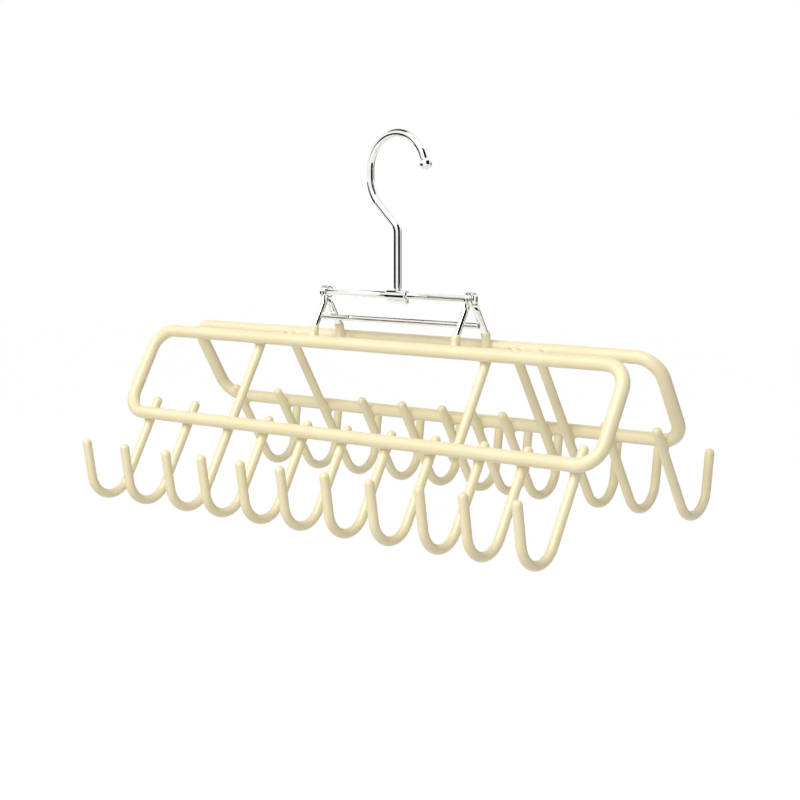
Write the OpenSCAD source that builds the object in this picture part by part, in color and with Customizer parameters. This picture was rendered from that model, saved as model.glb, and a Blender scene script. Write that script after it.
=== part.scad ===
// Folding tie hanger: a hanging hook and its axle carry two wire frames with a row of tie hooks each.
// Origin: the point of the hanging hook's bow that rests on the rod. +Z is up, the front faces -Y.

/* [Hanging hook] */
// Diameter of the hanging hook's wire
hook_wire_d = 4.2; // [3.6:0.1:5]
// Inner radius of the bow that hangs on the rod
bow_inner_r = 16.6; // [16:0.1:20]
// Angle that the bow sweeps over the rod
bow_turn = 162; // [140:1:175]
// Straight run between the bow and the flank
shoulder_run = 4; // [0.5:0.1:6]
// Bend radius of the flank that leads back to the middle
flank_r = 20; // [18:0.1:28]
// Angle of the flank's bend
flank_turn = 46; // [42:1:60]
// Bend radius at the neck above the stem
neck_r = 5.5; // [4:0.1:8]
// Diameter of the ball on the hook's end
ball_d = 6.4; // [5.6:0.1:9]
// Height of the rod seat above the axle's centre
axle_drop = 82.9; // [75:0.1:110]

/* [Axle and clip] */
// Diameter of the axle
axle_d = 3.5; // [3:0.1:4.2]
// Distance between the front frame's two legs, which turn inside the rear frame's
leg_spacing = 96.8; // [70:0.1:140]
// Sideways place of the middle between the legs
legs_x = -1; // [-4:0.1:4]
// Diameter of the peened heads on the axle's ends
head_d = 5.2; // [4.8:0.1:7]
// Thickness of a peened head
head_t = 1.2; // [0.8:0.1:2]
// Length of the sheet clip that holds the hook on the axle
clip_len = 13; // [9:0.1:24]
// Sheet thickness of the clip
clip_t = 0.9; // [0.6:0.1:1.2]
// Sideways place of the clip's middle
clip_x = -0.5; // [-3:0.1:3]
// Depth of the clip's pinched tail below its tube
tail_depth = 1.8; // [1:0.1:5]
// Angle at which the tail leans to the rear
tail_lean = 20; // [0:1:30]
// Diameter of the tenon at the foot of the hook's stem
tenon_d = 3; // [2.4:0.1:3.4]
// Height of the shoulder above the tenon
tenon_shoulder = 1.2; // [0.6:0.1:3]

/* [Legs] */
// Diameter of the bare leg wire
leg_d = 3.5; // [3:0.1:4]
// Outer diameter of a leg's flattened eyelet
eye_d = 7.5; // [6.8:0.1:9]
// Thickness of the flattened eyelet
eye_t = 1.7; // [1.4:0.1:2]
// Width of the flattened neck below the eyelet
neck_w = 4.8; // [4:0.1:5.4]
// Distance from the axle down to where the leg is round
flat_len = 6.5; // [6:0.1:9]
// Distance from the axle down to where the coating starts
bare_len = 20.7; // [17:0.1:24]
// Outer diameter of the coating on a leg
leg_coat_d = 4.8; // [4.4:0.1:5.6]
// Straight run of a leg from the start of its coating to its bend
bend_margin = 0.3; // [0.2:0.1:1]
// Centre line radius of the bend that leads a leg to the inner side of the top rail
leg_bend_r = 6; // [5:0.1:10]
// How far a leg runs on past its weld on the top rail
leg_overrun = 0.4; // [0.2:0.1:3]

/* [Crossbar] */
// Diameter of the crossbar between the rear legs
crossbar_d = 3.2; // [2.6:0.1:4]
// How far the crossbar runs on past the middle of the left leg
crossbar_left_overrun = 6; // [0.5:0.1:8]
// How far the crossbar runs on past the middle of the right leg
crossbar_right_overrun = 0.5; // [0.5:0.1:8]
// Distance from the axle down the rear legs to the crossbar
crossbar_drop = 14.6; // [11:0.1:15]

/* [Frames] */
// Diameter of the coated frame wire
rail_d = 7; // [5.5:0.1:8]
// Width of a frame between the centre lines of its end bars
frame_w = 320; // [306:1:360]
// Height of a frame between the centre lines of its rails
frame_h = 51.8; // [44:0.1:70]
// Centre line radius of a frame's corners
corner_r = 12.5; // [9:0.1:20]
// Distance from the axle down to the middle of the top rail
top_rail_drop = 31; // [28:0.1:40]
// Distance of the frame's plane outside the axle
rail_offset = 1.8; // [0.5:0.1:2.4]
// Sideways place of the front frame's middle
front_frame_x = -6; // [-10:0.1:6]
// Sideways place of the rear frame's middle
rear_frame_x = -11.7; // [-14:0.1:6]
// Angle of the front frame from the vertical
front_tilt = 30.1; // [26:0.1:36]
// Angle of the rear frame from the vertical
rear_tilt = 31.5; // [26:0.1:36]

/* [Tie hooks] */
// Number of tie hooks on each frame
hook_count = 11; // [9:1:11]
// Distance from the front frame's left end bar to the first tie hook of an even row
row_left_inset = 17.8; // [16:0.1:24]
// Distance from the front frame's right end bar to its last tie hook
row_right_inset = 14.2; // [13:0.1:24]
// Diameter of the coated tie hook wire
tie_wire_d = 5; // [4.4:0.1:5.6]
// How far a tie hook's inner end stands above the bottom rail's middle
tie_tip_rise = 9.8; // [7:0.1:12]
// The same for the front hooks to the right of the long one, save the last
low_tip_rise = 6; // [5:0.1:12]
// Straight run of a tie hook below the bottom rail's middle
tie_stem_run = 38.6; // [30:0.1:60]
// Centre line radius of a tie hook's bend
tie_bend_r = 13.8; // [10:0.1:16]
// Angle of a tie hook's bend
tie_turn = 140.5; // [120:0.5:160]
// Straight run of a tie hook's outer arm
tie_arm_run = 19.2; // [12:0.1:30]

/* [Struts and spacer toes] */
// Index of the tie hook that runs on up to the top rail in both frames
long_hook_index = 3; // [2:1:3]
// Index of the tie hook that runs on up to the top rail in the rear frame
rear_long_hook_index = 9; // [9:1:9]
// Distance from the separate strut to the long tie hook on its right
strut_step = 14.2; // [12:0.1:16]
// How far a strut runs on past the middle of a rail
strut_overrun = 2; // [1:0.1:4]
// How far the rear strut's lower end runs on below the middle of its bottom rail
rear_strut_foot = 18; // [2:0.1:24]
// Angle at which a spacer toe bends inward from its strut
toe_turn = 56; // [50:1:62]
// Centre line radius of a spacer toe's bend
toe_bend_r = 4; // [3.5:0.1:5]

/* [Fits] */
// Radial clearance of the eyelets on the axle
eye_clearance = 0.05; // [0.02:0.01:0.1]
// Gap between pieces that turn beside each other
side_gap = 0.3; // [0.2:0.05:0.5]
// Gap between a spacer toe and the strut that it rests on
toe_gap = 0.3; // [0.25:0.05:0.5]
// How far two welded wires melt into each other
weld_sink = 0.2; // [0.1:0.05:0.3]

/* [Hidden] */
$fn = 48;
chrome = "silver";
cream = "#f6ecc9";

// A bend or a round end is drawn this much thinner in radius than its straight wire, which laps over it
shrink = 0.03;
lap = 0.2;

// Axle, clip and eyelets
axle_r = axle_d / 2;
clip_r = axle_r + clip_t;
eye_step = eye_t + side_gap;
inner_eye_x = leg_spacing / 2;
outer_eye_x = inner_eye_x + eye_step;
axle_len = 2 * outer_eye_x + eye_t + 2 * side_gap;

// Hanging hook: the neck brings the stem back under the middle of the bow
bow_r = bow_inner_r + hook_wire_d / 2;
turn_in = 1 - cos(flank_turn);
throat_run = (bow_r - (flank_r + neck_r) * turn_in) / sin(flank_turn);
bend_drop = (flank_r + neck_r) * sin(flank_turn) + throat_run * cos(flank_turn);
stem_top = bow_inner_r + shoulder_run + bend_drop;
stem_foot = axle_drop - clip_r - tenon_shoulder;
tenon_step = 0.15;
stem_run = stem_foot - stem_top;

// Frames, each drawn hanging straight down from the axle with its inner side towards +Y
bottom_rail_drop = top_rail_drop + frame_h;
rail_y = -rail_offset;
rail_inner_y = rail_y + rail_d / 2;
crossbar_y = (leg_d + crossbar_d) / 2 - weld_sink;

// Leg: it runs straight down, then bends inward so that its coating just sinks into the top rail
leg_swell = 2.5;
leg_bend_drop = bare_len + bend_margin;
leg_bend_x = top_rail_drop - leg_bend_drop;
leg_bend_y = leg_bend_r - rail_y;
leg_bend_reach = leg_bend_r + (rail_d + leg_coat_d) / 2 - weld_sink;
leg_turn = atan(leg_bend_x / leg_bend_y) - acos(leg_bend_reach / norm([leg_bend_x, leg_bend_y]));
leg_foot_run = leg_bend_x * cos(leg_turn) - leg_bend_y * sin(leg_turn) + leg_overrun;

// How far each tie hook stands to the right of its place in an even row
front_shifts = [-3, -1, 2.5, 0.5, 0, -1, 0, 0, 1.5, -1.5, 0];
rear_shifts = [-6.8, -1, 2.5, 6.8, 7.4, 7, -1.5, -9.6, 0, -3, -1];

// Tie hooks and struts on the inner side of the rails
tie_y = rail_inner_y + tie_wire_d / 2 - weld_sink;
tie_bend_top = bottom_rail_drop + tie_stem_run;
first_hook_x = front_frame_x - frame_w / 2 + row_left_inset;
hook_pitch = (frame_w - row_left_inset - row_right_inset) / (hook_count - 1);

// Spacer toe: straight run from its bend until the round tip is a gap away from the rear strut.
// Lengths along the rear frame's inward direction, which leans by rear_tilt from the horizontal.
toe_rise = 90 - front_tilt - toe_turn;
toe_bend_y = tie_y + toe_bend_r * (1 - cos(toe_turn));
toe_bend_z = -top_rail_drop + toe_bend_r * sin(toe_turn);
toe_start_y = toe_bend_y * cos(front_tilt) + toe_bend_z * sin(front_tilt);
toe_start_z = toe_bend_z * cos(front_tilt) - toe_bend_y * sin(front_tilt);
toe_start_depth = -toe_start_y * cos(rear_tilt) - toe_start_z * sin(rear_tilt);
toe_end_depth = tie_y + tie_wire_d + toe_gap;
toe_run = (toe_start_depth - toe_end_depth) / cos(toe_rise - rear_tilt);
toe_tip_y = toe_bend_y + toe_run * sin(toe_turn);
toe_tip_z = toe_bend_z + toe_run * cos(toe_turn);

FRAMES = ["front", "rear"];
TIE_HOOKS = [for (side = FRAMES, i = [1 : hook_count]) str(side, "_tie_hook_", i)];

// Wire bent in the XY plane: it starts at the origin along +X.
// Each step is [straight run, turn to the left in degrees, bend radius]; either end may be rounded.
module bent_wire(d, steps, round_start = false, round_end = false, i = 0) {
    run = steps[i][0];
    turn = steps[i][1];
    r = steps[i][2];
    last = i == len(steps) - 1;
    lap_back = i == 0 ? 0 : lap;
    lap_on = last ? 0 : lap;
    translate([-lap_back, 0, 0])
        rotate([0, 90, 0])
            cylinder(d = d, h = lap_back + run + lap_on);
    if (round_start && i == 0)
        sphere(r = d / 2 - shrink);
    if (round_end && last)
        translate([run, 0, 0])
            sphere(r = d / 2 - shrink);
    if (!last) {
        side = sign(turn);
        translate([run, 0, 0]) {
            mirror([0, side < 0 ? 1 : 0, 0])
                translate([0, r, 0])
                    rotate([0, 0, -90])
                        rotate_extrude(angle = abs(turn))
                            translate([r, 0])
                                circle(r = d / 2 - shrink);
            translate([r * sin(abs(turn)), side * r * (1 - cos(turn)), 0])
                rotate([0, 0, turn])
                    bent_wire(d, steps, false, round_end, i + 1);
        }
    }
}

// Puts a piece, drawn hanging straight down from the axle, at its frame's tilt.
// The rear frame is the front one seen in a mirror along Y.
module hung(side) {
    rear = side == "rear";
    translate([0, 0, -axle_drop])
        mirror([0, rear ? 1 : 0, 0])
            rotate([rear ? -rear_tilt : -front_tilt, 0, 0])
                children();
}

// The start of the bow at the ball's end, with +X along the wire
module at_bow_end() {
    translate([0, 0, -bow_inner_r])
        rotate([90, 0, 0])
            rotate([0, 0, 180 - bow_turn])
                translate([bow_r, -ball_d / 2, 0])
                    rotate([0, 0, 90])
                        children();
}

module hanging_hook() {
    color(chrome) {
        at_bow_end()
            bent_wire(hook_wire_d, [
                [ball_d / 2, bow_turn, bow_r],
                [shoulder_run, flank_turn, flank_r],
                [throat_run, -flank_turn, neck_r],
                [stem_run, 0, 0]
            ]);
        // The shoulder narrows to the tenon, which stands on the axle through the clip
        translate([0, 0, -stem_foot - tenon_shoulder])
            cylinder(
                r1 = tenon_d / 2 + tenon_step,
                r2 = hook_wire_d / 2 - shrink,
                h = tenon_shoulder + lap
            );
        translate([0, 0, -axle_drop + axle_r])
            cylinder(d = tenon_d, h = clip_t + tenon_shoulder);
    }
}

// Ball with a bore from its middle on, which takes the end of the wire
module hook_ball() {
    color(chrome)
        at_bow_end()
            rotate([0, 90, 0])
                rotate_extrude()
                    difference() {
                        intersection() {
                            circle(d = ball_d);
                            translate([0, -ball_d / 2])
                                square(ball_d);
                        }
                        square([hook_wire_d / 2, ball_d]);
                    }
}

// Sheet rolled round the axle, with both edges pinched into a tail below
module axle_clip() {
    color(chrome)
        translate([0, 0, -axle_drop])
            difference() {
                translate([clip_x - clip_len / 2, 0, 0])
                    rotate([90, 0, 90])
                        linear_extrude(clip_len)
                            difference() {
                                union() {
                                    circle(r = clip_r);
                                    rotate(tail_lean)
                                        translate([-clip_t, -clip_r - tail_depth])
                                            square([2 * clip_t, clip_r + tail_depth]);
                                }
                                circle(r = axle_r);
                            }
                cylinder(d = tenon_d, h = axle_drop);
            }
}

module axle() {
    color(chrome)
        translate([legs_x, 0, -axle_drop])
            rotate([0, 90, 0]) {
                cylinder(d = axle_d, h = axle_len + head_t, center = true);
                for (end = [0, 1])
                    mirror([0, 0, end])
                        translate([0, 0, axle_len / 2])
                            axle_head();
            }
}

// Peened head with a bevelled face
module axle_head() {
    rotate_extrude()
        polygon([
            [0, 0],
            [head_d / 2, 0],
            [head_d / 2, head_t / 2],
            [axle_r, head_t],
            [0, head_t]
        ]);
}

// Sideways place of a leg: the front frame's legs turn on the axle just inside the rear frame's
function leg_x(side, left) = legs_x + (left ? -1 : 1) * (side == "front" ? inner_eye_x : outer_eye_x);

// Puts a piece, drawn along +X from the axle down with +Y inward, on a leg's line
module on_leg(side, left) {
    hung(side)
        translate([leg_x(side, left), 0, 0])
            rotate([0, 90, 0])
                children();
}

// The wire of a leg from a given distance below the axle on
module leg_wire(d, start, round_end = false) {
    translate([start, 0, 0])
        bent_wire(d, [
            [leg_bend_drop - start, leg_turn, leg_bend_r],
            [leg_foot_run, 0, 0]
        ], false, round_end);
}

// Leg wire whose end is stamped flat into an eyelet that turns on the axle
module leg(side, left) {
    color(chrome)
        on_leg(side, left) {
            translate([0, 0, -eye_t / 2])
                linear_extrude(eye_t)
                    difference() {
                        union() {
                            circle(d = eye_d);
                            polygon([
                                [0, -neck_w / 2],
                                [flat_len - leg_swell, -neck_w / 2],
                                [flat_len + leg_swell, -leg_d / 4],
                                [flat_len + leg_swell, leg_d / 4],
                                [flat_len - leg_swell, neck_w / 2],
                                [0, neck_w / 2]
                            ]);
                        }
                        circle(r = axle_r + eye_clearance);
                    }
            rotate([0, 90, 0])
                rotate_extrude()
                    polygon([
                        [0, flat_len - leg_swell],
                        [eye_t / 4, flat_len - leg_swell],
                        [leg_d / 2 - shrink, flat_len],
                        [leg_d / 2 - shrink, flat_len + lap],
                        [0, flat_len + lap]
                    ]);
            leg_wire(leg_d, flat_len);
        }
}

// Coating sleeve over the lower part of a leg, with a closed round end
module leg_coat(side, left) {
    color(cream)
        on_leg(side, left)
            difference() {
                leg_wire(leg_coat_d, bare_len, true);
                leg_wire(leg_d, bare_len - leg_d);
            }
}

// Bar welded across the inner side of both rear legs
module crossbar() {
    start = leg_x("rear", true) - crossbar_left_overrun;
    end = leg_x("rear", false) + crossbar_right_overrun;
    color(chrome)
        hung("rear")
            translate([start, crossbar_y, -crossbar_drop])
                rotate([0, 90, 0])
                    cylinder(d = crossbar_d, h = end - start);
}

function frame_x(side) = side == "front" ? front_frame_x : rear_frame_x;

// Wire bent into a rounded rectangle
module frame(side) {
    color(cream)
        hung(side)
            translate([frame_x(side), rail_y, -top_rail_drop - frame_h / 2])
                for (end = [0, 1])
                    mirror([end, 0, 0]) {
                        translate([frame_w / 2, 0, 0])
                            straight_bar(frame_h - 2 * corner_r);
                        for (low = [0, 1])
                            mirror([0, 0, low])
                                translate([frame_w / 2 - corner_r, 0, frame_h / 2 - corner_r])
                                    frame_corner();
                    }
    color(cream)
        hung(side)
            for (drop = [top_rail_drop, bottom_rail_drop])
                translate([frame_x(side), rail_y, -drop])
                    rotate([0, 90, 0])
                        straight_bar(frame_w - 2 * corner_r);
}

// Bar centred on the origin along Z that laps over the bends at both ends
module straight_bar(run) {
    cylinder(d = rail_d, h = run + 2 * lap, center = true);
}

// Corner of a frame, from +X round to +Z about its centre
module frame_corner() {
    rotate([90, 0, 0])
        rotate_extrude(angle = 90)
            translate([corner_r, 0])
                circle(r = rail_d / 2 - shrink);
}

function even_x(i) = first_hook_x + hook_pitch * (i - 1);
function hook_x(side, i) = even_x(i) + (side == "front" ? front_shifts : rear_shifts)[i - 1];
function is_low(side, i) = side == "front" && i > long_hook_index && i < hook_count;
function tie_top(side, i) = bottom_rail_drop - (is_low(side, i) ? low_tip_rise : tie_tip_rise);
function is_long(side, i) = i == long_hook_index || (side == "rear" && i == rear_long_hook_index);

// Wire on the inner side of a frame, drawn from its upper end down; a left turn leads outward.
// From the top rail it starts with a spacer toe in front, and with a short round end at the rear.
module inner_wire(side, x, top, at_rail, steps) {
    toed = at_rail && side == "front";
    top_z = -top;
    start_y = toed ? toe_tip_y : tie_y;
    start_z = toed ? toe_tip_z : top_z;
    toe = toed ? [[toe_run, -toe_turn, toe_bend_r]] : [];
    color(cream)
        hung(side)
            translate([x, start_y, start_z])
                rotate([0, 90, 180])
                    rotate([0, 0, toed ? toe_turn : 0])
                        bent_wire(tie_wire_d, concat(toe, steps), true, true);
}

// Depth of an inner wire's upper end where it reaches the top rail; in front its toe's bend starts there
function rail_top(side) = top_rail_drop - (side == "rear" ? strut_overrun : 0);

// Tie hook: a stem on the inner side of the frame, bent outward under it into an open hook
module tie_hook(side, i) {
    at_rail = is_long(side, i);
    top = at_rail ? rail_top(side) : tie_top(side, i);
    inner_wire(side, hook_x(side, i), top, at_rail, [
        [tie_bend_top - top, tie_turn, tie_bend_r],
        [tie_arm_run, 0, 0]
    ]);
}

// Strut that joins both rails of a frame
module strut(side) {
    top = rail_top(side);
    inner_wire(side, even_x(rear_long_hook_index) - strut_step, top, true, [
        [bottom_rail_drop + (side == "rear" ? rear_strut_foot : strut_overrun) - top, 0, 0]
    ]);
}

hanging_hook();
hook_ball();
axle_clip();
axle();
crossbar();
for (side = FRAMES) {
    frame(side);
    leg(side, true);
    leg(side, false);
    leg_coat(side, true);
    leg_coat(side, false);
    strut(side);
    for (i = [1 : hook_count])
        tie_hook(side, i);
}
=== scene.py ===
import math

import bpy
import numpy as np
from bpy.props import FloatProperty, FloatVectorProperty, PointerProperty
from bpy.types import Operator, Panel, PropertyGroup
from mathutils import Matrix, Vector


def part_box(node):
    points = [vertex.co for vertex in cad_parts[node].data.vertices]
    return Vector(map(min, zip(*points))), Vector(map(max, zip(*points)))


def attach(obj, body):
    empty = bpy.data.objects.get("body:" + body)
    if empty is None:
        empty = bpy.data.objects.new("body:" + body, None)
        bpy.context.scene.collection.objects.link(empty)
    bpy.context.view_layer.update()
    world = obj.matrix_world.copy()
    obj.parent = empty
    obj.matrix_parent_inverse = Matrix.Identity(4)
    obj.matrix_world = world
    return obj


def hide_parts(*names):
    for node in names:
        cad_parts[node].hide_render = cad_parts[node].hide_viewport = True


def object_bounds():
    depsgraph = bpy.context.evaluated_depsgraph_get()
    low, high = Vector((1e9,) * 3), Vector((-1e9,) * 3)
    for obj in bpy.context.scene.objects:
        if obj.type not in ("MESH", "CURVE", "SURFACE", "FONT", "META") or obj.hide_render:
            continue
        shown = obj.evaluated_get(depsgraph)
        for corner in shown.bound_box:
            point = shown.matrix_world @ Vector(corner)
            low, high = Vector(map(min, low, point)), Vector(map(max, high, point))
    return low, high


bl_info = {
    "name": "Tie hanger",
    "version": (1, 0, 0),
    "blender": (4, 5, 0),
    "location": "View3D > Sidebar > Tie hanger",
    "description": "Builds a folding tie hanger of coated and chromed wire, with a soft studio round it",
    "category": "Object",
}

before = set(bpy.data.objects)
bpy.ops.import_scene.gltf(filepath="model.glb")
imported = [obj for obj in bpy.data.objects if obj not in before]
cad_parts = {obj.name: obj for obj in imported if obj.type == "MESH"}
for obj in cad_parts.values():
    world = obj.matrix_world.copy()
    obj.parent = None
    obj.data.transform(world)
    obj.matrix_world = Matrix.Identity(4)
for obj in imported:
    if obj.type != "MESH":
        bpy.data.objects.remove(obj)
cad_low, cad_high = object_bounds()

MM = 0.001
SIDES = ("front", "rear")
HOOK_NUMBERS = range(1, sum(name.startswith("front_tie_hook_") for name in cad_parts) + 1)
LONG_HOOKS = {"front": (3,), "rear": (3, 9)}
ENDS = ("left", "right")

# Steps along a coated wire, a chrome wire and the thin lip of a leg's coating, and the lip's own run.
COATED_STEP = 1.1 * MM
CHROME_STEP = 0.5 * MM
LIP_STEP = 0.3 * MM
LIP_RUN = 0.9 * MM

# The CAD's bends are this much thinner in radius than its straight runs.
BEND_SHRINK = 0.03 * MM

# Rings of a wire's round end, as angles from its last full ring, and how far its pole stands out.
DOME_ANGLES = tuple(math.radians(degrees) for degrees in (15, 32, 48, 64, 78))
POLE_SHARE = 0.12

# The coating's corner fillets: rounds of pushing, share of each step taken, and the most push as a
# share of the reach.
FILL_ROUNDS = 8
FILL_STEP = 0.8
FILL_MOST = 0.27

# A leg starts to swell to its round wire this far above the end of its flat, over this run.
SWELL_ABOVE = 2.5 * MM
SWELL_RUN = 3.0 * MM

# Softened edges of an eyelet, a turned bar and the clip, and the thickness of the axle's heads.
EYELET_EDGE = 0.45 * MM
BAR_EDGE = 0.4 * MM
CLIP_EDGE = 0.12 * MM
AXLE_HEAD = 1.2 * MM

# The clip's gap over the axle, half the slit in its tail, and how much its right end flares.
CLIP_GAP = 0.01 * MM
CLIP_SLIT = 0.04 * MM
CLIP_FLARE = 0.05

FLOOR_HALF = 4.0

# Cards for the chrome: name, degrees to the right of the camera and up, distance, size and material.
CARDS = (
    ("card_right", 43, 14, 1.3, (1.8, 2.0), "dark_card"),
    ("card_far_right", 138, -5, 1.2, (2.1, 0.6), "pale_card"),
    ("card_left", -84, -15, 0.5, (0.5, 0.34), "dark_card"),
    ("card_far_left", -138, -7, 1.2, (2.1, 0.3), "dark_card"),
    ("card_above", -140, 58, 1.1, (1.0, 0.7), "dark_card"),
)


def length(name, description, millimetres):
    """A size in metres, given in millimetres."""
    return FloatProperty(
        name=name,
        description=description,
        default=millimetres * MM,
        min=0.0,
        unit="LENGTH",
        precision=5,
    )


def angle(name, description, degrees):
    """An angle in radians, given in degrees."""
    return FloatProperty(
        name=name, description=description, default=math.radians(degrees), subtype="ANGLE"
    )


def colour(name, description, rgb):
    """A linear colour without alpha."""
    return FloatVectorProperty(
        name=name,
        description=description,
        default=rgb,
        size=3,
        min=0.0,
        max=1.0,
        subtype="COLOR",
    )


def factor(name, description, value):
    """A plain share from 0 to 1."""
    return FloatProperty(
        name=name, description=description, default=value, min=0.0, max=1.0, subtype="FACTOR"
    )


class HangingHookSizes(PropertyGroup):
    """Sizes of the chrome hook, its ball, the clip and the axle."""

    wire_d: length("Hook wire", "Diameter of the hanging hook's wire", 4.2)
    bow_inner_r: length("Bow radius", "Inner radius of the bow that hangs on the rod", 16.6)
    bow_turn: angle("Bow turn", "Angle that the bow sweeps over the rod", 162)
    shoulder_run: length("Shoulder run", "Straight run between the bow and the flank", 4)
    flank_r: length("Flank radius", "Bend radius of the flank", 20)
    flank_turn: angle("Flank turn", "Angle of the flank's bend", 46)
    neck_r: length("Neck radius", "Bend radius at the neck above the stem", 5.5)
    ball_d: length("Ball", "Diameter of the ball on the hook's end", 6.4)
    axle_drop: length("Axle drop", "Height of the rod seat above the axle's centre", 82.9)
    axle_d: length("Axle", "Diameter of the axle", 3.5)
    clip_t: length("Clip sheet", "Sheet thickness of the clip", 0.9)
    tail_depth: length("Clip tail", "Depth of the clip's pinched tail below its tube", 1.8)
    tail_lean: angle("Tail lean", "Angle at which the clip's tail leans to the rear", 20)
    tenon_d: length("Tenon", "Diameter of the tenon at the foot of the stem", 3.0)
    tenon_shoulder: length("Shoulder", "Height of the shoulder above the tenon", 1.2)


class RackSizes(PropertyGroup):
    """Sizes of the two racks and of the legs that carry them."""

    rail_d: length("Frame wire", "Diameter of the coated frame wire", 7)
    frame_w: length("Frame width", "Width of a frame between its end bars' centre lines", 320)
    frame_h: length("Frame height", "Height of a frame between its rails' centre lines", 51.8)
    corner_r: length("Frame corners", "Centre line radius of a frame's corners", 12.5)
    top_rail_drop: length("Top rail drop", "Distance from the axle down to the top rail", 31)
    rail_offset: length("Frame offset", "Distance of the frame's plane outside the axle", 1.8)
    front_tilt: angle("Front tilt", "Angle of the front frame from the vertical", 30.1)
    rear_tilt: angle("Rear tilt", "Angle of the rear frame from the vertical", 31.5)
    tie_wire_d: length("Hook wire", "Diameter of the coated tie hook wire", 5)
    tie_tip_rise: length("Inner end", "How far a hook's inner end stands above the bottom rail", 9.8)
    low_tip_rise: length(
        "Low inner end", "The same for the front hooks right of the long one, save the last", 6
    )
    tie_stem_run: length("Hook stem", "Straight run of a tie hook below the bottom rail", 38.6)
    tie_bend_r: length("Hook bend", "Centre line radius of a tie hook's bend", 13.8)
    tie_turn: angle("Hook turn", "Angle of a tie hook's bend", 140.5)
    tie_arm_run: length("Hook arm", "Straight run of a tie hook's outer arm", 19.2)
    strut_overrun: length("Strut overrun", "How far a strut runs on past the middle of a rail", 2)
    rear_strut_foot: length("Rear strut foot", "How far the rear strut runs on below its bottom rail", 18)
    toe_turn: angle("Toe turn", "Angle at which a spacer toe bends inward", 56)
    toe_bend_r: length("Toe bend", "Centre line radius of a spacer toe's bend", 4)
    toe_gap: length("Toe gap", "Gap between a spacer toe and the strut behind it", 0.3)
    weld_sink: length("Weld sink", "How far two welded wires melt into each other", 0.2)
    fillet: length("Coating fillet", "Reach of the coating that fills the corner between two wires", 3.2)
    leg_d: length("Leg wire", "Diameter of the bare leg wire", 3.5)
    eye_d: length("Eyelet", "Outer diameter of a leg's eyelet", 7.5)
    eye_t: length("Eyelet sheet", "Thickness of a leg's flattened eyelet", 1.7)
    eye_clearance: length("Eyelet clearance", "Radial clearance of an eyelet on the axle", 0.05)
    neck_w: length("Eyelet neck", "Width of the flattened neck below the eyelet", 4.8)
    flat_len: length("Flat length", "Distance from the axle down to where a leg is round", 6.5)
    bare_len: length("Bare length", "Distance from the axle down to where the coating starts", 20.7)
    leg_coat_d: length("Leg coating", "Outer diameter of the coating on a leg", 4.8)
    bend_margin: length("Bend margin", "Straight run of a leg from the start of its coating to its bend", 0.3)
    leg_bend_r: length("Leg bend", "Radius of the bend that leads a leg to the inner side of the top rail", 6)
    leg_overrun: length("Leg overrun", "How far a leg runs on past its weld on the top rail", 0.4)
    crossbar_d: length("Crossbar", "Diameter of the crossbar", 3.2)


class FinishColours(PropertyGroup):
    """Colours and gloss of the two finishes."""

    cream: colour("Cream", "Main colour of the dipped coating", (0.90, 0.81, 0.545))
    cream_deep: colour("Deep cream", "Colour of the coating where it is thicker", (0.85, 0.73, 0.43))
    cream_roughness: factor("Coating roughness", "Roughness of the dipped coating", 0.32)
    chrome: colour("Chrome", "Colour of the plated wire", (0.90, 0.90, 0.87))
    chrome_stain: colour(
        "Chrome stain", "Slightly duller colour in patches of the plating", (0.74, 0.73, 0.66)
    )


class StudioSettings(PropertyGroup):
    """Camera, lights and floor."""

    camera_at: FloatVectorProperty(
        name="Camera",
        description="Place of the camera",
        default=(0.5740, -0.6968, -0.0253),
        unit="LENGTH",
        size=3,
    )
    camera_aim: FloatVectorProperty(
        name="Aim",
        description="Point that the camera looks at",
        default=(0.0010, 0.0007, -0.1387),
        unit="LENGTH",
        size=3,
    )
    lens: FloatProperty(
        name="Lens", description="Focal length in millimetres on a 36 mm sensor", default=76.82
    )
    floor_drop: length("Floor drop", "Height of the rod seat above the floor", 480)
    key_power: FloatProperty(name="Key light", description="Power of the big softbox in watts", default=19.5)
    fill_power: FloatProperty(
        name="Fill light", description="Power of the fill softbox in watts", default=1.5
    )
    sky: FloatProperty(name="Sky", description="Strength of the even light from all round", default=0.41)


def settings():
    """The add-on's four groups of settings."""
    scene = bpy.context.scene
    return scene.hanger_hook, scene.hanger_racks, scene.hanger_finish, scene.hanger_studio


class Line:
    """Centre line of a bent wire that lies in one plane: its points, directions and the plane's normal."""

    def __init__(self, points, directions, normal):
        self.points = points
        self.directions = directions
        self.normal = normal
        steps = np.linalg.norm(np.diff(points, axis=0), axis=1)
        self.distance = np.concatenate([[0.0], np.cumsum(steps)])


def bent_line(steps, spacing, heading=0.0):
    """Points and headings of a wire that is fed and bent in a plane, from the origin.

    Each step is (straight run, turn to the left, bend radius).
    """
    place = np.zeros(2)
    points, headings = [place], [heading]
    for run, turn, radius in steps:
        along = np.array([math.cos(heading), math.sin(heading)])
        count = math.ceil(run / spacing)
        for k in range(1, count + 1):
            points.append(place + along * run * k / count)
            headings.append(heading)
        place = place + along * run
        if turn:
            reach = math.copysign(radius, turn)
            centre = place + reach * np.array([-math.sin(heading), math.cos(heading)])
            count = math.ceil(abs(turn) * radius / spacing)
            for k in range(1, count + 1):
                turned = heading + turn * k / count
                points.append(centre - reach * np.array([-math.sin(turned), math.cos(turned)]))
                headings.append(turned)
            heading += turn
            place = points[-1]
    return np.array(points), np.array(headings)


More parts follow.
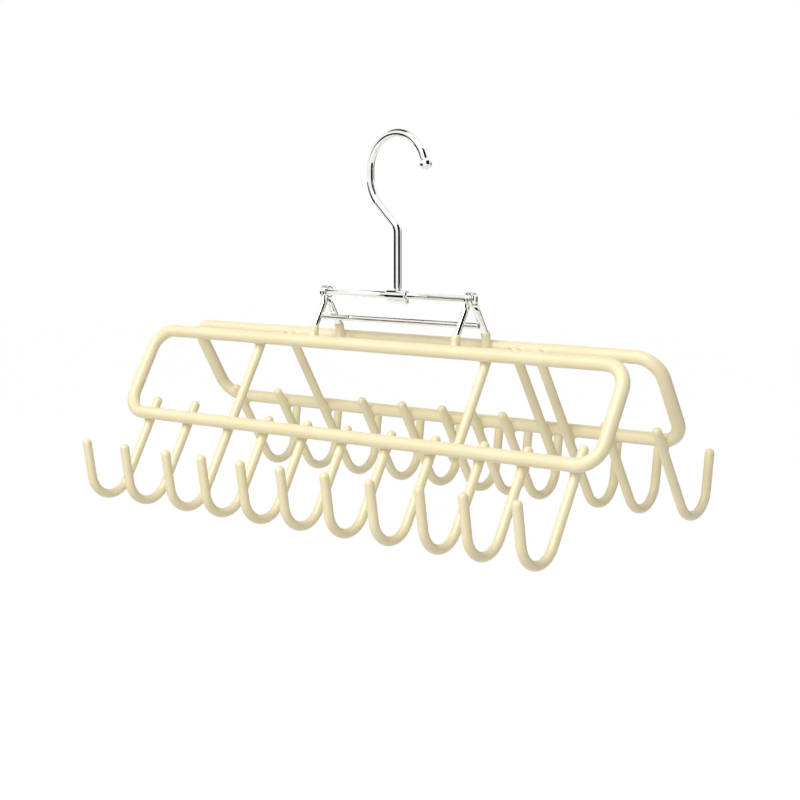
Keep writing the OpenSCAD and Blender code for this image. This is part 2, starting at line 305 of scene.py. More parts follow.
def line_in_plane(steps, spacing, origin, forward, left, heading=0.0):
    """A bent wire's centre line, with its first heading measured from forward towards left."""
    flat, headings = bent_line(steps, spacing, heading)
    origin, forward, left = (np.array(v, dtype=float) for v in (origin, forward, left))
    points = origin + np.outer(flat[:, 0], forward) + np.outer(flat[:, 1], left)
    directions = np.outer(np.cos(headings), forward) + np.outer(np.sin(headings), left)
    return Line(points, directions, np.cross(forward, left))


def hung(side, offset, placed=True):
    """A place or direction given as hanging straight down from the axle, put at its rack's tilt.

    The rear rack is the front one seen in a mirror along Y.
    """
    hook, rack, _, _ = settings()
    tilt = rack.front_tilt if side == "front" else rack.rear_tilt
    x, y, z = offset
    out_y = y * math.cos(tilt) + z * math.sin(tilt)
    out_z = z * math.cos(tilt) - y * math.sin(tilt)
    drop = hook.axle_drop if placed else 0.0
    return np.array([x, out_y if side == "front" else -out_y, out_z - drop])


def node_middle_x(node):
    """Sideways place of a CAD node's middle."""
    low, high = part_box(node)
    return (low[0] + high[0]) / 2


def tie_wire_offset(rack):
    """How far the wires on the inner side of a frame lie inside the axle."""
    return -rack.rail_offset + (rack.rail_d + rack.tie_wire_d) / 2 - rack.weld_sink


def toe_steps(rack):
    """Straight run of a spacer toe, and the place of its tip in the front rack, as hanging straight down."""
    tie_y = tie_wire_offset(rack)
    bend_y = tie_y + rack.toe_bend_r * (1 - math.cos(rack.toe_turn))
    bend_z = rack.toe_bend_r * math.sin(rack.toe_turn) - rack.top_rail_drop
    start = hung("front", (0, bend_y, bend_z), placed=False)
    inward = np.array([0, -math.cos(rack.rear_tilt), -math.sin(rack.rear_tilt)])
    rise = math.pi / 2 - rack.front_tilt - rack.toe_turn
    room = start @ inward - (tie_y + rack.tie_wire_d + rack.toe_gap)
    run = room / math.cos(rise - rack.rear_tilt)
    return run, bend_y + run * math.sin(rack.toe_turn), bend_z + run * math.cos(rack.toe_turn)


def inner_line(side, x, tip_rise, foot_steps, depth):
    """Centre line of a wire on the inner side of a frame, from its upper end down to depth and on.

    It starts tip_rise above the bottom rail, or at the top rail where tip_rise is None.
    """
    _, rack, _, _ = settings()
    tie_y = tie_wire_offset(rack)
    heading = 0.0
    steps = []
    if tip_rise is None and side == "front":
        run, start_y, start_z = toe_steps(rack)
        heading = rack.toe_turn
        steps = [(run, -rack.toe_turn, rack.toe_bend_r)]
        top = rack.top_rail_drop
    else:
        top = rack.top_rail_drop - rack.strut_overrun
        if tip_rise is not None:
            top = rack.top_rail_drop + rack.frame_h - tip_rise
        start_y, start_z = tie_y, -top
    first_run, *rest = foot_steps
    steps.append((depth - top, *first_run))
    down = hung(side, (0, 0, -1), placed=False)
    outward = hung(side, (0, -1, 0), placed=False)
    start = hung(side, (x, start_y, start_z))
    return line_in_plane(steps + rest, COATED_STEP, start, down, outward, heading)


def frame_line(side):
    """Centre line of a frame: a closed rounded rectangle from the middle of its bottom rail."""
    _, rack, _, _ = settings()
    low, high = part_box(f"{side}_frame")
    half_w = rack.frame_w / 2 - rack.corner_r
    steps = [
        (half_w, math.pi / 2, rack.corner_r),
        (rack.frame_h - 2 * rack.corner_r, math.pi / 2, rack.corner_r),
        (2 * half_w, math.pi / 2, rack.corner_r),
        (rack.frame_h - 2 * rack.corner_r, math.pi / 2, rack.corner_r),
        (half_w, 0, 0),
    ]
    bottom = -rack.top_rail_drop - rack.frame_h
    start = hung(side, ((low[0] + high[0]) / 2, -rack.rail_offset, bottom))
    up = hung(side, (0, 0, 1), placed=False)
    return line_in_plane(steps, COATED_STEP, start, (1, 0, 0), up)


def leg_line(side, end, start, spacing):
    """A leg's centre line from a given distance below the axle: straight down, then in to the top rail."""
    _, rack, _, _ = settings()
    bend_drop = rack.bare_len + rack.bend_margin
    drop = rack.top_rail_drop - bend_drop
    inset = rack.leg_bend_r + rack.rail_offset
    reach = rack.leg_bend_r + (rack.rail_d + rack.leg_coat_d) / 2 - rack.weld_sink
    turn = math.atan2(drop, inset) - math.acos(reach / math.hypot(drop, inset))
    foot_run = drop * math.cos(turn) - inset * math.sin(turn) + rack.leg_overrun
    origin = hung(side, (node_middle_x(f"{side}_{end}_leg"), 0, -start))
    down = hung(side, (0, 0, -1), placed=False)
    inward = hung(side, (0, 1, 0), placed=False)
    steps = [(bend_drop - start, turn, rack.leg_bend_r), (foot_run, 0, 0)]
    return line_in_plane(steps, spacing, origin, down, inward)


class CoatedWire:
    """A coated wire's centre line with its radius at each point."""

    def __init__(self, line, radii, closed=False, round_start=True):
        self.line = line
        self.radii = radii
        self.closed = closed
        self.round_start = round_start


def even_wire(line, diameter, closed=False):
    """A coated wire of one diameter, as thin as the CAD's bends."""
    return CoatedWire(line, np.full(len(line.points), diameter / 2 - BEND_SHRINK), closed)


def leg_coat_wire(side, end):
    """The coating on a leg, which starts with a thin rolled lip."""
    _, rack, _, _ = settings()
    line = leg_line(side, end, rack.bare_len, LIP_STEP)
    lip = np.clip(line.distance / LIP_RUN, 0.0, 1.0)
    bare_r = rack.leg_d / 2
    radii = bare_r + (rack.leg_coat_d / 2 - bare_r) * np.sqrt(1 - (1 - lip) ** 2)
    return CoatedWire(line, radii, round_start=False)


def coated_wires():
    """Every coated wire of both racks, by the name of its CAD node."""
    _, rack, _, _ = settings()
    bottom = rack.top_rail_drop + rack.frame_h
    hook_foot = [(rack.tie_turn, rack.tie_bend_r), (rack.tie_arm_run, 0, 0)]
    wires = {}
    for side in SIDES:
        wires[f"{side}_frame"] = even_wire(frame_line(side), rack.rail_d, closed=True)
        for number in HOOK_NUMBERS:
            node = f"{side}_tie_hook_{number}"
            tip_rise = rack.tie_tip_rise
            if number in LONG_HOOKS[side]:
                tip_rise = None
            elif side == "front" and LONG_HOOKS[side][0] < number < HOOK_NUMBERS[-1]:
                tip_rise = rack.low_tip_rise
            depth = bottom + rack.tie_stem_run
            line = inner_line(side, node_middle_x(node), tip_rise, hook_foot, depth)
            wires[node] = even_wire(line, rack.tie_wire_d)
        node = f"{side}_strut"
        foot = rack.rear_strut_foot if side == "rear" else rack.strut_overrun
        line = inner_line(side, node_middle_x(node), None, [(0, 0)], bottom + foot)
        wires[node] = even_wire(line, rack.tie_wire_d)
        for end in ENDS:
            wires[f"{side}_{end}_leg_coat"] = leg_coat_wire(side, end)
    return wires


def ring_faces(rings, sides, closed=False):
    """Quads between rings of vertices, each of the same number of sides."""
    faces = []
    for i in range(rings if closed else rings - 1):
        here, there = i * sides, (i + 1) % rings * sides
        for j in range(sides):
            k = (j + 1) % sides
            faces.append((here + j, here + k, there + k, there + j))
    return faces


def pole_faces(rings, sides):
    """Triangles from the first and the last ring to two poles that come after all rings."""
    first_pole, last = rings * sides, (rings - 1) * sides
    faces = []
    for j in range(sides):
        k = (j + 1) % sides
        faces.append((first_pole, k, j))
        faces.append((first_pole + 1, last + j, last + k))
    return faces


def tube_rings(line, radii, round_start, round_end):
    """Ring centres, directions and radii of a tube, with the rings of its round ends added."""
    points, directions = list(line.points), list(line.directions)
    radii = list(radii)
    if round_start:
        first, way, r = points[0], directions[0], radii[0]
        points = [first - way * r * math.sin(a) for a in reversed(DOME_ANGLES)] + points
        directions = [way] * len(DOME_ANGLES) + directions
        radii = [r * math.cos(a) for a in reversed(DOME_ANGLES)] + radii
    if round_end:
        last, way, r = points[-1], directions[-1], radii[-1]
        points = points + [last + way * r * math.sin(a) for a in DOME_ANGLES]
        directions = directions + [way] * len(DOME_ANGLES)
        radii = radii + [r * math.cos(a) for a in DOME_ANGLES]
    return np.array(points), np.array(directions), np.array(radii)


def tube_mesh(line, radii, sides, closed=False, round_start=True, round_end=True, widths=None):
    """Vertices, outward directions and faces of a tube along a line.

    widths, where given, are the half widths across the plane's normal, for a flattened wire.
    """
    if closed:
        points, directions, radii = line.points[:-1], line.directions[:-1], radii[:-1]
    else:
        points, directions, radii = tube_rings(line, radii, round_start, round_end)
    side_way = np.cross(line.normal, directions)
    turns = np.linspace(0, 2 * math.pi, sides, endpoint=False)
    across = radii if widths is None else widths
    outward = (
        side_way[:, None, :] * np.cos(turns)[None, :, None] * radii[:, None, None]
        + line.normal[None, None, :] * np.sin(turns)[None, :, None] * across[:, None, None]
    )
    vertices = (points[:, None, :] + outward).reshape(-1, 3)
    outward = outward.reshape(-1, 3)
    outward = outward / np.maximum(np.linalg.norm(outward, axis=1), 1e-9)[:, None]
    faces = ring_faces(len(points), sides, closed)
    if not closed:
        start_pole = points[0] - directions[0] * (radii[0] * POLE_SHARE if round_start else 0.0)
        end_pole = points[-1] + directions[-1] * (radii[-1] * POLE_SHARE if round_end else 0.0)
        vertices = np.vstack([vertices, start_pole, end_pole])
        outward = np.vstack([outward, -directions[0], directions[-1]])
        faces += pole_faces(len(points), sides)
    return vertices, outward, faces


def distance_to_wire(points, wire):
    """Distance of each point to a wire's surface, negative inside."""
    starts, ends = wire.line.points[:-1], wire.line.points[1:]
    spans = ends - starts
    lengths = np.maximum((spans**2).sum(axis=1), 1e-18)
    offset = points[:, None, :] - starts[None, :, :]
    share = np.clip((offset * spans[None]).sum(axis=2) / lengths[None], 0.0, 1.0)
    nearest = offset - share[:, :, None] * spans[None]
    radii = wire.radii[:-1] + (wire.radii[1:] - wire.radii[:-1]) * share
    return (np.linalg.norm(nearest, axis=2) - radii).min(axis=1)


def near(points, wire, reach):
    """Which points lie within reach of a wire's bounding box."""
    margin = wire.radii.max() + reach
    low = wire.line.points.min(axis=0) - margin
    high = wire.line.points.max(axis=0) + margin
    return np.all((points > low) & (points < high), axis=1)


def fill_corners(vertices, outward, others, reach):
    """Pushes a wire's skin out where another wire comes close, so that the coating fills the corner."""
    for wire in others:
        chosen = np.flatnonzero(near(vertices, wire, reach))
        if not len(chosen):
            continue
        base, way = vertices[chosen], outward[chosen]
        push = np.zeros(len(chosen))
        for _ in range(FILL_ROUNDS):
            gap = distance_to_wire(base + way * push[:, None], wire)
            blend = np.maximum(reach - np.abs(push - gap), 0.0) ** 2 / (4 * reach)
            push = np.clip(push - FILL_STEP * (np.minimum(push, gap) - blend), 0.0, FILL_MOST * reach)
        vertices[chosen] = base + way * push[:, None]


def add_mesh(name, vertices, faces, material, body, replaced=()):
    """A smooth mesh object that rides on a body and stands for the CAD nodes in replaced."""
    mesh = bpy.data.meshes.new(name)
    mesh.from_pydata([tuple(v) for v in vertices], [], faces)
    mesh.polygons.foreach_set("use_smooth", [True] * len(mesh.polygons))
    mesh.materials.append(material)
    mesh.update()
    piece = bpy.data.objects.new(name, mesh)
    bpy.context.scene.collection.objects.link(piece)
    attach(piece, body)
    if replaced:
        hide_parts(*replaced)
    return piece


def joined(parts):
    """Vertices and faces of several meshes as one."""
    vertices, faces, base = [], [], 0
    for part_vertices, part_faces in parts:
        vertices.append(np.asarray(part_vertices))
        faces += [tuple(base + i for i in face) for face in part_faces]
        base += len(part_vertices)
    return np.vstack(vertices), faces


def lathe(profile, origin, axis, start, sides):
    """A turned shape.

    profile lists (distance along the axis, radius), and start is a direction across it.
    """
    origin, axis, start = (np.array(v, dtype=float) for v in (origin, axis, start))
    other = np.cross(axis, start)
    turns = np.linspace(0, 2 * math.pi, sides, endpoint=False)
    ring = np.outer(np.cos(turns), start) + np.outer(np.sin(turns), other)
    vertices = np.vstack([origin + axis * along + ring * radius for along, radius in profile])
    vertices = np.vstack([vertices, origin + axis * profile[0][0], origin + axis * profile[-1][0]])
    return vertices, ring_faces(len(profile), sides) + pole_faces(len(profile), sides)


def rounded_bar(half_length, radius, edge, head=None):
    """Profile of a round bar with softened ends, or with a domed head on each end.

    A head is (radius, thickness).
    """
    if head:
        head_r, head_t = head
        half = [(half_length, radius), (half_length, head_r - edge)]
        half += [
            (half_length + edge * (1 - math.cos(a)), head_r - edge + edge * math.sin(a))
            for a in np.linspace(0, math.pi / 2, 5)
        ]
        half += [
            (half_length + edge + (head_t - edge) * math.sin(a), head_r * math.cos(a))
            for a in np.linspace(0.15, math.pi / 2 - 0.05, 8)
        ]
    else:
        half = [
            (half_length - edge + edge * math.sin(a), radius - edge + edge * math.cos(a))
            for a in np.linspace(0, math.pi / 2, 6)
        ]
        half.append((half_length, (radius - edge) * 0.5))
    return [(-along, r) for along, r in reversed(half)] + half


def new_material(name):
    """An empty node material with its shader, and a function that adds a node with its values."""
    material = bpy.data.materials.new(name)
    material.use_nodes = True
    tree = material.node_tree
    shader = tree.nodes["Principled BSDF"]

    def node(kind, values=(), links=()):
        made = tree.nodes.new(kind)
        for key, value in dict(values).items():
            if key in made.inputs:
                made.inputs[key].default_value = value
            else:
                setattr(made, key, value)
        for socket, source in dict(links).items():
            tree.links.new(source, made.inputs[socket])
        return made

    return material, tree, shader, node


def cream_coating():
    """Dipped vinyl: soft gloss, faint unevenness in colour and a skin that isn't quite level."""
    made = bpy.data.materials.get("dipped_cream_coating")
    if made:
        return made
    _, _, finish, _ = settings()
    material, tree, shader, node = new_material("dipped_cream_coating")
    place = node("ShaderNodeTexCoord").outputs["Object"]
    drift = node("ShaderNodeTexNoise", {"Scale": 45.0, "Detail": 3.0, "Roughness": 0.55}, {"Vector": place})
    ramp = node("ShaderNodeValToRGB", {}, {"Fac": drift.outputs["Fac"]})
    ramp.color_ramp.elements[0].position = 0.35
    ramp.color_ramp.elements[0].color = (*finish.cream, 1)
    ramp.color_ramp.elements[1].position = 1.0
    ramp.color_ramp.elements[1].color = (*finish.cream_deep, 1)
    tree.links.new(ramp.outputs["Color"], shader.inputs["Base Color"])
    cloud = node("ShaderNodeTexNoise", {"Scale": 220.0, "Detail": 2.0}, {"Vector": place})
    smoothest, dullest = finish.cream_roughness - 0.05, finish.cream_roughness + 0.08
    gloss = node(
        "ShaderNodeMapRange", {"To Min": smoothest, "To Max": dullest}, {"Value": cloud.outputs["Fac"]}
    )
    tree.links.new(gloss.outputs["Result"], shader.inputs["Roughness"])
    sag = node("ShaderNodeBump", {"Strength": 0.35, "Distance": 0.00025}, {"Height": cloud.outputs["Fac"]})
    skin = node("ShaderNodeTexNoise", {"Scale": 1500.0, "Detail": 2.0}, {"Vector": place})
    peel = node(
        "ShaderNodeBump",
        {"Strength": 0.12, "Distance": 0.00004},
        {"Height": skin.outputs["Fac"], "Normal": sag.outputs["Normal"]},
    )
    tree.links.new(peel.outputs["Normal"], shader.inputs["Normal"])
    shader.inputs["Specular IOR Level"].default_value = 0.6
    shader.inputs["Subsurface Weight"].default_value = 0.15
    shader.inputs["Subsurface Radius"].default_value = (1.0, 0.75, 0.4)
    shader.inputs["Subsurface Scale"].default_value = 0.0015
    return material


def chrome_plating():
    """Bright plated wire with faint dull patches and fine drawing marks."""
    made = bpy.data.materials.get("chrome_plating")
    if made:
        return made
    _, _, finish, _ = settings()
    material, tree, shader, node = new_material("chrome_plating")
    place = node("ShaderNodeTexCoord").outputs["Object"]
    patches = node("ShaderNodeTexNoise", {"Scale": 160.0, "Detail": 4.0}, {"Vector": place})
    ramp = node("ShaderNodeValToRGB", {}, {"Fac": patches.outputs["Fac"]})
    ramp.color_ramp.elements[0].position = 0.5
    ramp.color_ramp.elements[0].color = (*finish.chrome, 1)
    ramp.color_ramp.elements[1].position = 0.95
    ramp.color_ramp.elements[1].color = (*finish.chrome_stain, 1)
    tree.links.new(ramp.outputs["Color"], shader.inputs["Base Color"])
    gloss = node("ShaderNodeMapRange", {"To Min": 0.02, "To Max": 0.07}, {"Value": patches.outputs["Fac"]})
    tree.links.new(gloss.outputs["Result"], shader.inputs["Roughness"])
    marks = node("ShaderNodeTexNoise", {"Scale": 2600.0, "Detail": 2.0}, {"Vector": place})
    bump = node("ShaderNodeBump", {"Strength": 0.05, "Distance": 0.00002}, {"Height": marks.outputs["Fac"]})
    tree.links.new(bump.outputs["Normal"], shader.inputs["Normal"])
    shader.inputs["Metallic"].default_value = 1.0
    return material


def rack_body(node):
    """The body that a rack's piece rides on."""
    return "front_rack" if node.startswith("front") else "rear_rack"


def add_coated(nodes, sides):
    """Adds the coated wires of the named CAD nodes, with the coating run into the corners between wires."""
    _, rack, _, _ = settings()
    wires = coated_wires()
    for node in nodes:
        wire = wires[node]
        side = node.split("_")[0]
        vertices, outward, faces = tube_mesh(
            wire.line, wire.radii, sides, closed=wire.closed, round_start=wire.round_start
        )
        others = [wires[other] for other in wires if other != node and other.startswith(side)]
        fill_corners(vertices, outward, others, rack.fillet)
        name = f"{node}_coated"
        add_mesh(name, vertices, faces, cream_coating(), rack_body(node), [node])


def add_chrome(name, vertices, faces, body, node):
    """Adds a chrome piece in place of its CAD node."""
    return add_mesh(name, vertices, faces, chrome_plating(), body, [node])


class HANGER_OT_frames(Operator):
    """Adds the two rounded frames of coated wire"""

    bl_idname = "hanger.frames"
    bl_label = "Frames"

    def execute(self, context):
        add_coated([f"{side}_frame" for side in SIDES], 40)
        return {"FINISHED"}


class HANGER_OT_tie_hooks(Operator):
    """Adds the row of tie hooks on each frame"""

    bl_idname = "hanger.tie_hooks"
    bl_label = "Tie hooks"

    def execute(self, context):
        add_coated([f"{side}_tie_hook_{number}" for side in SIDES for number in HOOK_NUMBERS], 32)
        return {"FINISHED"}


class HANGER_OT_struts(Operator):
    """Adds the separate strut of each frame, which has a spacer toe in front"""

    bl_idname = "hanger.struts"
    bl_label = "Struts"

    def execute(self, context):
        add_coated([f"{side}_strut" for side in SIDES], 32)
        return {"FINISHED"}


class HANGER_OT_leg_coats(Operator):
    """Adds the coating on the lower part of each leg"""

    bl_idname = "hanger.leg_coats"
    bl_label = "Leg coatings"

    def execute(self, context):
        add_coated([f"{side}_{end}_leg_coat" for side in SIDES for end in ENDS], 32)
        return {"FINISHED"}


def eyelet_mesh(centre, rack, hole_r, sides):
    """Flattened ring round the axle, with softened edges."""
    outer, half, edge = rack.eye_d / 2, rack.eye_t / 2, EYELET_EDGE
    corners = [(1, outer), (-1, outer), (-1, hole_r), (1, hole_r)]
    profile = []
    for side, radius in corners:
        inward = -1 if radius == outer else 1
        for share in (0.0, 0.4, 1.0) if (side > 0) == (radius == hole_r) else (1.0, 0.4, 0.0):
            turn = share * math.pi / 2
            along = side * (half - edge * (1 - math.sin(turn)))
            profile.append((along, radius + inward * edge * (1 - math.cos(turn))))
    turns = np.linspace(0, 2 * math.pi, sides, endpoint=False)
    vertices = [
        (centre[0] + along, centre[1] + radius * math.cos(a), centre[2] + radius * math.sin(a))
        for a in turns
        for along, radius in profile
    ]
    return vertices, ring_faces(sides, len(profile), closed=True)


class HANGER_OT_legs(Operator):
    """Adds the four chrome legs, each stamped flat round the axle"""

    bl_idname = "hanger.legs"
    bl_label = "Legs"

    def execute(self, context):
        hook, rack, _, _ = settings()
        hole_r = hook.axle_d / 2 + rack.eye_clearance
        for side in SIDES:
            for end in ENDS:
                node = f"{side}_{end}_leg"
                start = (hole_r + rack.eye_d / 2) / 2
                line = leg_line(side, end, start, CHROME_STEP)
                from_axle = start + line.distance
                swell = np.clip((from_axle - rack.flat_len + SWELL_ABOVE) / SWELL_RUN, 0.0, 1.0)
                swell = swell * swell * (3 - 2 * swell)
                in_plane = rack.neck_w / 2 + (rack.leg_d / 2 - rack.neck_w / 2) * swell
                across = rack.eye_t / 2 + (rack.leg_d / 2 - rack.eye_t / 2) * swell
                vertices, _, faces = tube_mesh(
                    line, in_plane, 28, round_start=False, round_end=False, widths=across
                )
                centre = (node_middle_x(node), 0, -hook.axle_drop)
                parts = joined([(vertices, faces), eyelet_mesh(centre, rack, hole_r, 48)])
                add_chrome(f"{node}_wire", *parts, rack_body(node), node)
        return {"FINISHED"}


class HANGER_OT_crossbar(Operator):
    """Adds the chrome bar welded across the rear legs"""

    bl_idname = "hanger.crossbar"
    bl_label = "Crossbar"

    def execute(self, context):
        low, high = (Vector(corner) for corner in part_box("crossbar"))
        middle = (low + high) / 2
        _, rack, _, _ = settings()
        profile = rounded_bar((high.x - low.x) / 2, rack.crossbar_d / 2, BAR_EDGE)
        vertices, faces = lathe(profile, middle, (1, 0, 0), (0, 1, 0), 32)
        add_chrome("crossbar_wire", vertices, faces, "rear_rack", "crossbar")
        return {"FINISHED"}


class HANGER_OT_axle(Operator):
    """Adds the axle with its domed peened ends"""

    bl_idname = "hanger.axle"
    bl_label = "Axle"

    def execute(self, context):
        low, high = (Vector(corner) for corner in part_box("axle"))
        hook, _, _, _ = settings()
        head = ((high.z - low.z) / 2, AXLE_HEAD)
        profile = rounded_bar((high.x - low.x) / 2 - AXLE_HEAD, hook.axle_d / 2, BAR_EDGE, head)
        vertices, faces = lathe(profile, (low + high) / 2, (1, 0, 0), (0, 1, 0), 40)
        add_chrome("axle_bar", vertices, faces, "hook_and_axle", "axle")
        return {"FINISHED"}


def arc(radius, start, end, count):
    """Points of an arc round the axle, in the plane across it."""
    return [radius * np.array([math.cos(turn), math.sin(turn)]) for turn in np.linspace(start, end, count)]


class HANGER_OT_clip(Operator):
    """Adds the sheet clip rolled round the axle, its edges pinched into a tail"""

    bl_idname = "hanger.clip"
    bl_label = "Clip"

    def execute(self, context):
        hook, _, _, _ = settings()
        low, high = (Vector(corner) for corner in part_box("axle_clip"))
        inner_r = hook.axle_d / 2 + CLIP_GAP
        outer_r = inner_r + hook.clip_t
        down = -math.pi / 2 + hook.tail_lean
        tail = np.array([math.cos(down), math.sin(down)])
        across = np.array([-tail[1], tail[0]])
        depth = outer_r + hook.tail_depth
        spread = math.asin(min(1.0, hook.clip_t / outer_r))
        foot = [tail * depth + across * side * hook.clip_t for side in (-1, 1)]
        slit = [tail * depth * 0.999 + across * side * CLIP_SLIT for side in (-1, 1)]
        outer = arc(outer_r, down + spread, down + 2 * math.pi - spread, 40)
        hole = arc(inner_r, down + 0.03, down + 2 * math.pi - 0.03, 40)
        outline = [foot[1], *outer, foot[0], slit[0], *reversed(hole), slit[1]]
        stations = np.linspace(low.x, high.x, 12)
        flare = [1 + CLIP_FLARE * max(0.0, (x - stations[-3]) / (high.x - stations[-3])) for x in stations]
        vertices = [
            (x, point[0] * (grow if k >= 1 else 1), point[1] * grow - hook.axle_drop)
            for x, grow in zip(stations, flare)
            for k, point in enumerate(outline)
        ]
        count = len(outline)
        faces = ring_faces(len(stations), count)
        faces.append(tuple(reversed(range(count))))
        faces.append(tuple((len(stations) - 1) * count + j for j in range(count)))
        clip = add_chrome("axle_clip_sheet", vertices, faces, "hook_and_axle", "axle_clip")
        bevel = clip.modifiers.new("soft_edges", "BEVEL")
        bevel.width = CLIP_EDGE
        bevel.segments = 2
        bevel.limit_method = "ANGLE"
        bevel.angle_limit = math.radians(50)
        return {"FINISHED"}


class HANGER_OT_hanging_hook(Operator):
    """Adds the chrome hanging hook and the ball on its end"""

    bl_idname = "hanger.hanging_hook"
    bl_label = "Hanging hook"

    def execute(self, context):
        hook, _, _, _ = settings()
        wire_r = hook.wire_d / 2 - BEND_SHRINK
        bow_r = hook.bow_inner_r + hook.wire_d / 2
        turn_in = 1 - math.cos(hook.flank_turn)
        throat = (bow_r - (hook.flank_r + hook.neck_r) * turn_in) / math.sin(hook.flank_turn)
        bends = (hook.flank_r + hook.neck_r) * math.sin(hook.flank_turn)
        bends += throat * math.cos(hook.flank_turn)
        clip_r = hook.axle_d / 2 + hook.clip_t
        foot = hook.axle_drop - clip_r - hook.tenon_shoulder
        stem = foot - (hook.bow_inner_r + hook.shoulder_run + bends)
        steps = [
            (hook.ball_d / 2, hook.bow_turn, bow_r),
            (hook.shoulder_run, hook.flank_turn, hook.flank_r),
            (throat, -hook.flank_turn, hook.neck_r),
            (stem + hook.tenon_shoulder + hook.clip_t, 0, 0),
        ]
        start_turn = math.pi - hook.bow_turn
        along = np.array([-math.sin(start_turn), 0, math.cos(start_turn)])
        out = np.array([math.cos(start_turn), 0, math.sin(start_turn)])
        start = np.array([0, 0, -hook.bow_inner_r]) + out * bow_r - along * hook.ball_d / 2
        line = line_in_plane(steps, CHROME_STEP, start, along, -out)
        from_end = line.distance[-1] - line.distance
        narrow = np.clip((from_end - hook.clip_t) / hook.tenon_shoulder, 0.0, 1.0)
        radii = hook.tenon_d / 2 + (wire_r - hook.tenon_d / 2) * np.sin(narrow * math.pi / 2)
        vertices, _, faces = tube_mesh(line, radii, 40, round_start=False, round_end=False)
        add_chrome("hanging_hook_wire", vertices, faces, "hook_and_axle", "hanging_hook")
        ball_r = hook.ball_d / 2
        collar = math.asin(wire_r / ball_r)
        profile = [
            (-ball_r * math.cos(a), ball_r * math.sin(a)) for a in np.linspace(0.02, math.pi - collar, 28)
        ]
        vertices, faces = lathe(profile, start, along, (0, 1, 0), 40)
        add_chrome("hook_ball_end", vertices, faces, "hook_and_axle", "hook_ball")
        return {"FINISHED"}


def aim(thing, target):
    """Turns an object so that its -Z looks at a point."""
    thing.rotation_mode = "QUATERNION"
    thing.rotation_quaternion = (Vector(target) - thing.location).to_track_quat("-Z", "Y")


def softbox(name, place, target, size, power):
    """A big soft area lamp."""
    lamp = bpy.data.lights.new(name, "AREA")
    lamp.shape = "RECTANGLE"
    lamp.size, lamp.size_y = size
    lamp.energy = power
    made = bpy.data.objects.new(name, lamp)
    bpy.context.scene.collection.objects.link(made)
    made.location = place
    aim(made, target)


def reflected_card(name, centre, facing, size, material):
    """A card that only shiny metal sees, as studios use to draw edges on chrome."""
    half_w, half_h = size[0] / 2, size[1] / 2
    mesh = bpy.data.meshes.new(name)
    corners = [(-half_w, -half_h, 0), (half_w, -half_h, 0), (half_w, half_h, 0), (-half_w, half_h, 0)]
    mesh.from_pydata(corners, [], [(0, 1, 2, 3)])
    mesh.materials.append(material)
    card = bpy.data.objects.new(name, mesh)
    bpy.context.scene.collection.objects.link(card)
    card.location = centre
    aim(card, facing)
    card.visible_camera = card.visible_diffuse = card.visible_shadow = False


def flat_material(name, rgb, specular=None):
    """A plain material without gloss."""
    material, _, shader, _ = new_material(name)
    shader.inputs["Base Color"].default_value = (*rgb, 1)
    shader.inputs["Roughness"].default_value = 1.0
    if specular is not None:
        shader.inputs["Specular IOR Level"].default_value = specular
    return material


def backdrop_light(tree, shade, white_share, white=1.0):
    """Mixes a shader with plain white light for camera, mirror and see-through rays."""
    path = tree.nodes.new("ShaderNodeLightPath")
    glow = tree.nodes.new("ShaderNodeEmission")
    glow.inputs["Strength"].default_value = white
    most = path.outputs["Is Camera Ray"]
    for ray in ("Is Glossy Ray", "Is Transmission Ray"):
        larger = tree.nodes.new("ShaderNodeMath")
        larger.operation = "MAXIMUM"
        tree.links.new(most, larger.inputs[0])
        tree.links.new(path.outputs[ray], larger.inputs[1])
        most = larger.outputs[0]
    share = tree.nodes.new("ShaderNodeMath")
    share.operation = "MULTIPLY"
    share.inputs[1].default_value = white_share
    tree.links.new(most, share.inputs[0])
    mix = tree.nodes.new("ShaderNodeMixShader")
    tree.links.new(share.outputs[0], mix.inputs["Fac"])
    tree.links.new(shade, mix.inputs[1])
    tree.links.new(glow.outputs["Emission"], mix.inputs[2])
    return mix


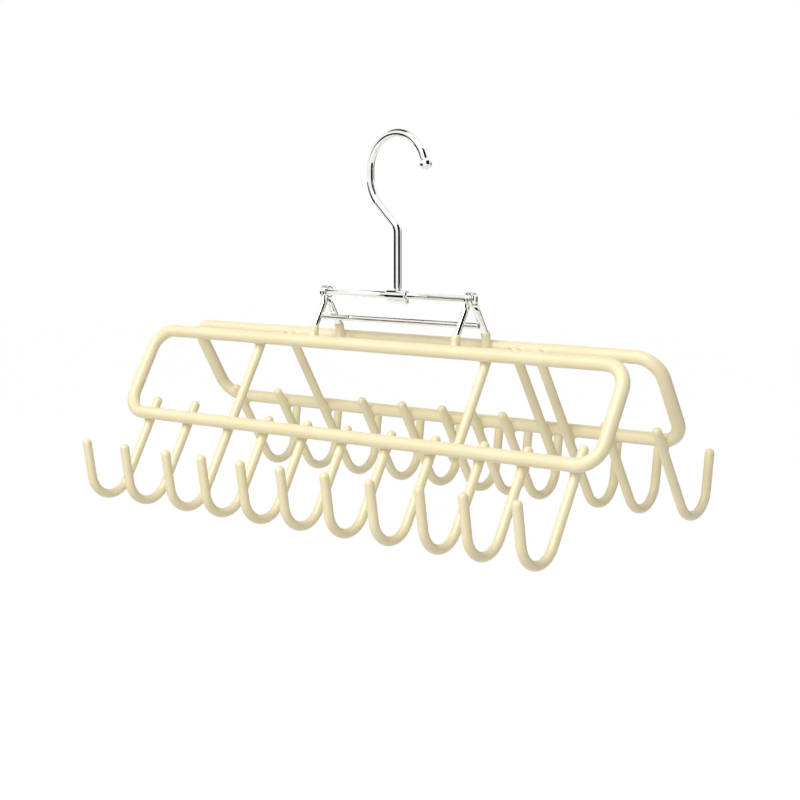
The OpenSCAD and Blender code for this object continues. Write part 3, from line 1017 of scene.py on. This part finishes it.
class HANGER_OT_studio(Operator):
    """Adds the pale floor, the soft lights and the camera"""

    bl_idname = "hanger.studio"
    bl_label = "Studio"

    def execute(self, context):
        _, _, _, studio = settings()
        scene = context.scene
        middle = (cad_low + cad_high) / 2

        camera = bpy.data.objects.new("camera", bpy.data.cameras.new("camera"))
        scene.collection.objects.link(camera)
        camera.data.sensor_width = 36.0
        camera.data.lens = studio.lens
        camera.location = studio.camera_at
        aim(camera, studio.camera_aim)
        scene.camera = camera

        mesh = bpy.data.meshes.new("floor")
        half, z = FLOOR_HALF, -studio.floor_drop
        corners = [(-half, -half, z), (half, -half, z), (half, half, z), (-half, half, z)]
        mesh.from_pydata(corners, [], [(0, 1, 2, 3)])
        floor = bpy.data.objects.new("floor", mesh)
        scene.collection.objects.link(floor)
        material, tree, shader, _ = new_material("pale_floor")
        shader.inputs["Base Color"].default_value = (0.8, 0.8, 0.8, 1)
        shader.inputs["Roughness"].default_value = 0.7
        mix = backdrop_light(tree, shader.outputs["BSDF"], 0.94, 1.035)
        tree.links.new(mix.outputs[0], tree.nodes["Material Output"].inputs["Surface"])
        mesh.materials.append(material)

        world = bpy.data.worlds.new("studio")
        scene.world = world
        world.use_nodes = True
        background = world.node_tree.nodes["Background"]
        background.inputs["Color"].default_value = (1.0, 1.0, 1.0, 1)
        background.inputs["Strength"].default_value = studio.sky
        mix = backdrop_light(world.node_tree, background.outputs[0], 1.0)
        surface = world.node_tree.nodes["World Output"].inputs["Surface"]
        world.node_tree.links.new(mix.outputs[0], surface)

        back = Vector(studio.camera_at) - Vector(studio.camera_aim)
        camera_turn = math.atan2(back.y, back.x)
        heart = Vector((0, 0, middle.z + 0.02))

        def seen(to_right, upward, distance):
            """A place seen from the heart, by its angles to the right of the camera's direction and up."""
            turn, rise = camera_turn + math.radians(to_right), math.radians(upward)
            level = math.cos(rise) * distance
            reach = (math.cos(turn) * level, math.sin(turn) * level, math.sin(rise) * distance)
            return heart + Vector(reach)

        shades = {
            "dark_card": flat_material("dark_card", (0.01, 0.01, 0.01), specular=0.0),
            "pale_card": flat_material("pale_card", (0.32, 0.30, 0.23)),
        }
        for name, to_right, upward, distance, size, shade in CARDS:
            reflected_card(name, seen(to_right, upward, distance), heart, size, shades[shade])

        softbox("key_light", seen(-38, 42, 1.5), heart, (1.0, 1.0), studio.key_power)
        softbox("fill_light", seen(70, 20, 1.6), heart, (1.0, 1.2), studio.fill_power)
        scene.view_settings.view_transform = "Standard"
        return {"FINISHED"}


class HANGER_PT_panel(Panel):
    """Lists the hanger's sizes, colours and pieces"""

    bl_idname = "HANGER_PT_panel"
    bl_label = "Tie hanger"
    bl_space_type = "VIEW_3D"
    bl_region_type = "UI"
    bl_category = "Tie hanger"

    def draw(self, context):
        layout = self.layout
        for label, group in zip(("Hanging hook", "Racks", "Finish", "Studio"), settings()):
            box = layout.box()
            box.label(text=label)
            for key in group.__annotations__:
                box.prop(group, key)
        for operator in BUILDERS:
            layout.operator(operator.bl_idname)


GROUPS = {
    "hanger_hook": HangingHookSizes,
    "hanger_racks": RackSizes,
    "hanger_finish": FinishColours,
    "hanger_studio": StudioSettings,
}
BUILDERS = (
    HANGER_OT_hanging_hook,
    HANGER_OT_axle,
    HANGER_OT_clip,
    HANGER_OT_legs,
    HANGER_OT_crossbar,
    HANGER_OT_frames,
    HANGER_OT_tie_hooks,
    HANGER_OT_struts,
    HANGER_OT_leg_coats,
    HANGER_OT_studio,
)


def register():
    """Registers the settings, the operators and the panel."""
    for name, group in GROUPS.items():
        bpy.utils.register_class(group)
        setattr(bpy.types.Scene, name, PointerProperty(type=group))
    for operator in BUILDERS:
        bpy.utils.register_class(operator)
    bpy.utils.register_class(HANGER_PT_panel)


def unregister():
    """Undoes register."""
    bpy.utils.unregister_class(HANGER_PT_panel)
    for operator in reversed(BUILDERS):
        bpy.utils.unregister_class(operator)
    for name, group in GROUPS.items():
        delattr(bpy.types.Scene, name)
        bpy.utils.unregister_class(group)


def main():
    """Builds the hanger and the studio."""
    register()
    bpy.ops.hanger.hanging_hook()
    bpy.ops.hanger.axle()
    bpy.ops.hanger.clip()
    bpy.ops.hanger.legs()
    bpy.ops.hanger.crossbar()
    bpy.ops.hanger.frames()
    bpy.ops.hanger.tie_hooks()
    bpy.ops.hanger.struts()
    bpy.ops.hanger.leg_coats()
    bpy.ops.hanger.studio()


if __name__ == "__main__":
    main()
